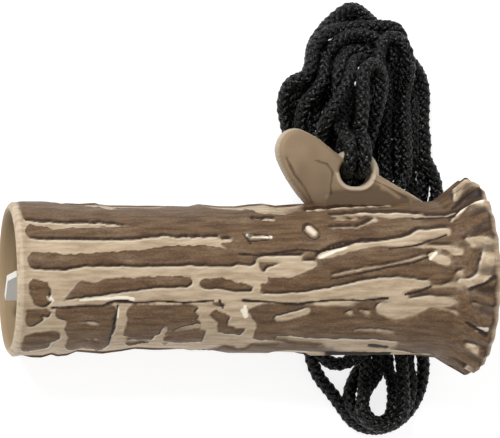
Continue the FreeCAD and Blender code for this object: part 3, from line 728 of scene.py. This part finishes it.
def smooth_outline(points, count=8):
    """Points on a Catmull-Rom curve through an open row of points."""
    p = np.array(points)
    p = np.concatenate([[2 * p[0] - p[1]], p, [2 * p[-1] - p[-2]]])
    t = np.arange(count)[:, None] / count
    runs = [b + ((c - a) * t + (2 * a - 5 * b + 4 * c - d) * t ** 2 + (3 * b - a - 3 * c + d) * t ** 3) / 2
            for a, b, c, d in zip(p, p[1:], p[2:], p[3:])]
    return np.concatenate(runs + [p[-2:-1]])


def depth_in_outline(x, y, loop):
    """Distance to a closed outline, positive inside it."""
    best, crossings = np.full(x.shape, np.inf), np.zeros(x.shape, int)
    for (x0, y0), (x1, y1) in zip(loop, np.roll(loop, -1, axis=0)):
        dx, dy = x1 - x0, y1 - y0
        t = np.clip(((x - x0) * dx + (y - y0) * dy) / (dx * dx + dy * dy), 0, 1)
        best = np.minimum(best, np.hypot(x - x0 - t * dx, y - y0 - t * dy))
        if dy:
            crossings += ((y0 > y) != (y1 > y)) & (x < x0 + (y - y0) * dx / dy)
    return np.where(crossings % 2 == 1, best, -best)


def rounded(depth, half, fillet):
    """Height of a plate's face near its edge, where it rolls over with a fillet."""
    into = np.clip(depth, 0, fillet)
    return half - fillet + np.sqrt(fillet ** 2 - (fillet - into) ** 2)


def tine_heights(x, y, outline):
    """How deep each point lies in the tine's plan, how high the face is, and where it is the eye's lip."""
    blade = depth_in_outline(x, y, outline)
    from_eye = np.hypot(np.maximum(np.abs(x - EYE[0]) - EYE_SHIFT, 0), y - EYE[1]) - EYE_R
    wall = EYE_WALL - from_eye
    height = np.where(blade > 0, rounded(blade, TINE_HALF, TINE_ROUND), 0)
    height = np.maximum(height, np.where(wall > 0, rounded(wall, EYE_WALL_HALF, EYE_WALL_ROUND), 0))
    lip = (1 - ramp(from_eye, EYE_LIP - 0.4, EYE_LIP + 0.4)) * (1 - ramp(y, EYE_LIP_TOP - 1, EYE_LIP_TOP))
    height = height + EYE_LIP_PROUD * lip - EYE_EDGE * (1 - ramp(from_eye, 0, 0.7))
    return np.minimum(np.maximum(blade, wall), from_eye), height, lip


def tine_plan(outline):
    """The tine's net in plan: its points, quads, border edges and the points on the border."""
    low, high = outline.min(axis=0) - 1, outline.max(axis=0) + 1
    x, y = np.meshgrid(*(np.arange(low[k], high[k], TINE_STEP) for k in range(2)), indexing="ij")
    depth, _, _ = tine_heights(x, y, outline)
    middle = (depth[:-1, :-1] + depth[1:, :-1] + depth[1:, 1:] + depth[:-1, 1:]) / 4
    index = np.arange(x.size).reshape(x.shape)
    quads = np.stack([index[:-1, :-1], index[1:, :-1], index[1:, 1:], index[:-1, 1:]], axis=-1)[middle > 0]
    used, quads = np.unique(quads, return_inverse=True)
    quads = quads.reshape(-1, 4)
    # every edge that only one quad has is on the border: its points are drawn onto the outline
    edges = np.concatenate([quads[:, [k, (k + 1) % 4]] for k in range(4)])
    _, first, count = np.unique(np.sort(edges, axis=1), axis=0, return_index=True, return_counts=True)
    border = edges[first[count == 1]]
    rim = np.unique(border)
    slope_x, slope_y = (slope.ravel()[used[rim]] for slope in np.gradient(depth, TINE_STEP))
    step = depth.ravel()[used[rim]] / np.maximum(np.hypot(slope_x, slope_y), 0.5) ** 2
    x, y = x.ravel()[used], y.ravel()[used]
    x[rim] -= step * slope_x
    y[rim] -= step * slope_y
    return x, y, quads, border, rim


def tine_fields(x, y, lip, outline):
    """How brown, cracked and glinting the tine is; its plain plastic is browner towards the tube."""
    brown, crack_and_shade, glint, _ = paint(x, y, TINE_MARKS, 90)
    marked = np.zeros(x.shape)
    for kind, stroke in TINE_MARKS:
        if kind in ("brown", "pale"):
            marked = np.maximum(marked, 1 - ramp(beyond(x, y, stroke), -0.4, 0.7))
    plain = TINE_PLAIN + sum(more * ramp(-y, -start, -end) for more, start, end in TINE_SHADES)
    plain = plain + TINE_BLOTCHES * surface_noise(x, y, (3, 4), 95)
    brown = (plain + (TINE_BROWN * brown - plain) * marked) * (1 - lip)
    edge = 1 - ramp(depth_in_outline(x, y, outline), 0.1, 0.9)
    glint = np.maximum(TINE_GLINT * glint, TINE_EDGE_GLINT * np.maximum(lip, edge))
    return brown, TINE_CRACK * crack_and_shade, glint


def half_tine(lower):
    """Vertices, faces and pattern fields of one half of the tine, open at the parting plane."""
    outline = smooth_outline(TINE_OUTLINE)
    x, y, quads, border, rim = tine_plan(outline)
    _, height, lip = tine_heights(x, y, outline)
    height[rim] = np.maximum(height[rim], TINE_RIM)
    height = height - GROOVE_DEPTH * (1 - ramp(beyond(x, y, TINE_GROOVE), 0, 0.8))
    skirt = {v: len(x) + k for k, v in enumerate(rim)}
    vertices = np.stack([x, y, height], axis=-1)
    vertices = np.concatenate([vertices, vertices[rim] * [1, 1, 0]])
    faces = [tuple(q) for q in quads] + [(b, a, skirt[a], skirt[b]) for a, b in border]
    if lower:
        vertices = vertices * [1, 1, -1]
        faces = [f[::-1] for f in faces]
    fields = [np.concatenate([f, f[rim]]) for f in tine_fields(x, y, lip, outline)]
    return vertices, faces, fields + [np.full(len(vertices), TINE_FINISH)]


def shell(lower):
    """One half shell: half of the tube and burr with half of the tine."""
    vertices, faces, fields = half_tube(lower)
    more_vertices, more_faces, more_fields = half_tine(lower)
    faces = faces + [tuple(v + len(vertices) for v in face) for face in more_faces]
    name = "lower_shell" if lower else "upper_shell"
    piece = mesh_object(name + "_bark", from_call(np.concatenate([vertices, more_vertices])), faces,
                        "shell", shell_material())
    for label, *values in zip(("brown", "crack_and_shade", "glint", "smooth"), fields, more_fields):
        layer = piece.data.attributes.new(label, "FLOAT", "POINT")
        layer.data.foreach_set("value", np.concatenate(values).astype(np.float32))
    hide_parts(name)


# ---- materials ----

def srgb(r, g, b):
    """An opaque colour from 0 to 255 screen values."""
    def linear(c):
        c = c / 255
        return c / 12.92 if c < 0.04045 else ((c + 0.055) / 1.055) ** 2.4
    return (linear(r), linear(g), linear(b), 1)


class Shader:
    """Small helper that adds nodes to a material and joins them up."""

    def __init__(self, name, roughness):
        """Starts a material with one rough, weakly mirroring surface."""
        self.material = bpy.data.materials.new(name)
        self.material.use_nodes = True
        self.nodes, self.links = self.material.node_tree.nodes, self.material.node_tree.links
        self.surface = self.nodes["Principled BSDF"]
        self.set(self.surface, "Roughness", roughness)
        self.set(self.surface, "Specular IOR Level", 0.25)

    def set(self, node, socket, value):
        """Joins an output to a socket, or writes a constant on it."""
        target = node.inputs[socket]
        if isinstance(value, bpy.types.NodeSocket):
            self.links.new(value, target)
        else:
            target.default_value = value

    def attribute(self, name):
        """One of the pattern fields on the mesh."""
        node = self.nodes.new("ShaderNodeAttribute")
        node.attribute_name = name
        return node.outputs["Fac"]

    def noise(self, scale, detail=3.0, stretch=(1, 1, 1)):
        """Noise in object space; scale is in features per metre."""
        place, mapping = self.nodes.new("ShaderNodeTexCoord"), self.nodes.new("ShaderNodeMapping")
        self.set(mapping, "Vector", place.outputs["Object"])
        self.set(mapping, "Scale", stretch)
        node = self.nodes.new("ShaderNodeTexNoise")
        self.set(node, "Vector", mapping.outputs["Vector"])
        self.set(node, "Scale", scale)
        self.set(node, "Detail", detail)
        return node.outputs["Fac"]

    def math(self, operation, a, b=0.0, clamp=False):
        """A sum or other operation on two values."""
        node = self.nodes.new("ShaderNodeMath")
        node.operation, node.use_clamp = operation, clamp
        self.set(node, 0, a)
        self.set(node, 1, b)
        return node.outputs[0]

    def spread(self, value, low, high, to_low=0.0, to_high=1.0):
        """The value stretched from one range to another."""
        node = self.nodes.new("ShaderNodeMapRange")
        for socket, number in zip(("From Min", "From Max", "To Min", "To Max"), (low, high, to_low, to_high)):
            self.set(node, socket, number)
        self.set(node, "Value", value)
        return node.outputs["Result"]

    def mix(self, share, a, b):
        """A colour between a, at share 0, and b, at share 1."""
        node = self.nodes.new("ShaderNodeMix")
        node.data_type = "RGBA"
        self.set(node, 0, share)
        self.set(node, 6, a)
        self.set(node, 7, b)
        return node.outputs[2]

    def bump(self, height, strength, distance):
        """Fine relief that only the light sees."""
        node = self.nodes.new("ShaderNodeBump")
        self.set(node, "Height", height)
        self.set(node, "Strength", strength)
        self.set(node, "Distance", distance)
        self.set(self.surface, "Normal", node.outputs["Normal"])


def shell_material():
    """Tan plastic with a brown wash on the raised bark, dark cracks, painted shade and painted highlights."""
    s = Shader("bark", 0.5)
    streaks = s.noise(900, 4, (0.16, 1, 1))
    specks = s.noise(2600, 3, (0.5, 1, 1))
    blotches = s.noise(230, 3, (0.4, 1, 1))
    pale = s.mix(s.spread(streaks, 0.35, 0.65), srgb(166, 144, 117), srgb(197, 177, 150))
    brown = s.mix(s.spread(streaks, 0.35, 0.65), srgb(82, 59, 39), srgb(110, 85, 60))
    brown = s.mix(s.spread(specks, 0.62, 0.72, 0, 0.5), brown, srgb(150, 128, 104))
    wash = s.math("ADD", s.attribute("brown"), s.spread(blotches, 0.3, 0.7, -0.16, 0.16), True)
    wash = s.math("ADD", wash, s.spread(specks, 0.3, 0.7, -0.12, 0.12), True)
    color = s.mix(wash, pale, brown)
    smooth = s.attribute("smooth")
    tine = s.mix(s.attribute("brown"), srgb(158, 136, 108), srgb(78, 58, 42))
    color = s.mix(s.spread(smooth, 0.1, 0.4), color, tine)
    color = s.mix(s.spread(smooth, 0.6, 0.9), color, srgb(156, 134, 104))
    # painted highlights: the glints, the bright edges past the shaded ones and the rim
    color = s.mix(s.spread(s.attribute("glint"), 0.1, 0.8), color, srgb(243, 232, 212))
    # dark cracks together with painted shade on the bark's edges, in the burr's grooves and inside
    color = s.mix(s.spread(s.attribute("crack_and_shade"), 0.15, 0.9), color, srgb(44, 30, 21))
    s.set(s.surface, "Base Color", color)
    s.bump(s.math("ADD", streaks, specks), 0.25, 0.0003)
    return s.material


def plain_material(name, color, roughness, grain):
    """Moulded plastic or rubber with a faint grain."""
    s = Shader(name, roughness)
    s.set(s.surface, "Base Color", color)
    s.bump(s.noise(grain, 3), 0.15, 0.0001)
    return s.material


def finish_nodes():
    """Finishes of the CAD nodes that are shown as they are."""
    rubber = plain_material("seal rubber", srgb(30, 30, 31), 0.45, 1500)
    finishes = {
        "mouthpiece": plain_material("mouthpiece plastic", srgb(38, 36, 34), 0.42, 2500),
        "reed_carrier": plain_material("carrier plastic", srgb(214, 212, 206), 0.35, 2500),
        "reed": plain_material("reed film", srgb(205, 208, 208), 0.3, 900),
        "reed_wedge": plain_material("wedge rubber", srgb(44, 43, 42), 0.6, 1800),
        "front_seal_ring": rubber, "rear_seal_ring": rubber, "tuning_ring": rubber,
    }
    for name, material in finishes.items():
        slots = frame["nodes"][name].data.materials
        slots.clear()
        slots.append(material)


def cord_material():
    """Black braid whose fibres catch the light as small grey flecks."""
    s = Shader("cord", 0.42)
    fibres = s.noise(2400, 2, (1, 1, 1))
    # the grey flecks are painted highlights on the fibres
    s.set(s.surface, "Base Color", s.mix(s.spread(fibres, 0.62, 0.7), srgb(3, 3, 3), srgb(108, 108, 105)))
    s.bump(fibres, 0.3, 0.0002)
    return s.material


# ---- hitch and knot ----

HITCH_R = 4.6            # radius of the hitch's loops round the bridge of the eye
HITCH_TURN = 370.0
KNOT = (79.5, 29.0, 15.0)    # its middle, in table coordinates
KNOT_TURNS = 3
KNOT_R = 2.3
KNOT_HALF_LENGTH = 3.1
LOOP_POINTS = 60


def ring_line(x):
    """One loop of the hitch round the bridge, in the frame's millimetres."""
    turn = np.radians(np.linspace(0, HITCH_TURN, LOOP_POINTS)) - np.pi / 2
    y, z = HITCH_Y + HITCH_R * np.cos(turn), HITCH_R * np.sin(turn)
    return from_call(np.stack([np.full(LOOP_POINTS, x), y, z], axis=1)) / MM


def knot_line():
    """The close turns of a barrel knot, in the frame's millimetres."""
    turn = np.linspace(0, 2 * np.pi * KNOT_TURNS, LOOP_POINTS)
    x = np.linspace(-KNOT_HALF_LENGTH, KNOT_HALF_LENGTH, LOOP_POINTS)
    coil = np.stack([x, KNOT_R * np.sin(turn), KNOT_R * np.cos(turn)], axis=1)
    return from_table(coil + KNOT) / MM


def braided(name, cords, *nodes):
    """A braided piece in place of CAD nodes: one or more cords, each given by evenly spaced centres."""
    vertices, faces = [], []
    for centres in cords:
        start = sum(map(len, vertices))
        more, more_faces = braid(centres)
        faces += [tuple(v + start for v in face) for face in more_faces]
        vertices.append(more)
    piece = mesh_object(name, np.concatenate(vertices) * MM, faces, "shell", cord_material())
    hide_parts(*nodes)
    return piece


def add_lanyard():
    """The hitch, the knot and the loose cord between them."""
    line = line_of(nurbs("lanyard route", from_table(route()))) / MM
    centres = evenly(line, STRAND_STEP)
    braided("hitch", [evenly(ring_line(x), STRAND_STEP) for x in HITCH_X], "lanyard_hitch")
    braided("knot", [evenly(knot_line(), STRAND_STEP)], "lanyard_knot")
    lanyard = braided("lanyard", [centres], "lanyard_coil", "lanyard_lead_out", "lanyard_lead_in")


# ---- stage: white ground, even daylight and a soft sun from the upper left ----

GROUND_SIZE = 3
GROUND_COLOR = (0.35, 0.35, 0.35, 1)
WHITE = (1, 1, 1, 1)
GROUND_GLOW = 0.8
SKY_STRENGTH = 0.62
SUN_STRENGTH = 2.0
SUN_SPREAD = 14          # degrees
SUN_FROM = (-0.55, 0.65, 1.0)


def add_stage():
    """The ground and the lights."""
    bpy.ops.mesh.primitive_plane_add(size=GROUND_SIZE)
    floor = bpy.context.object
    ground = Shader("floor", 0.9)
    ground.set(ground.surface, "Base Color", GROUND_COLOR)
    ground.set(ground.surface, "Emission Color", WHITE)
    ground.set(ground.surface, "Emission Strength", GROUND_GLOW)
    floor.data.materials.append(ground.material)
    world = bpy.data.worlds.new("world")
    bpy.context.scene.world = world
    world.use_nodes = True
    background = world.node_tree.nodes["Background"]
    background.inputs["Color"].default_value = WHITE
    background.inputs["Strength"].default_value = SKY_STRENGTH
    sun = bpy.data.lights.new("sun", "SUN")
    sun.energy = SUN_STRENGTH
    sun.angle = math.radians(SUN_SPREAD)
    lamp = bpy.data.objects.new("sun", sun)
    lamp.rotation_euler = Vector(SUN_FROM).to_track_quat("Z", "Y").to_euler()
    bpy.context.collection.objects.link(lamp)
    bpy.context.scene.view_settings.view_transform = "Standard"


# ---- assembly ----

add_camera()
add_lanyard()
shell(lower=False)
shell(lower=True)
finish_nodes()
add_stage()
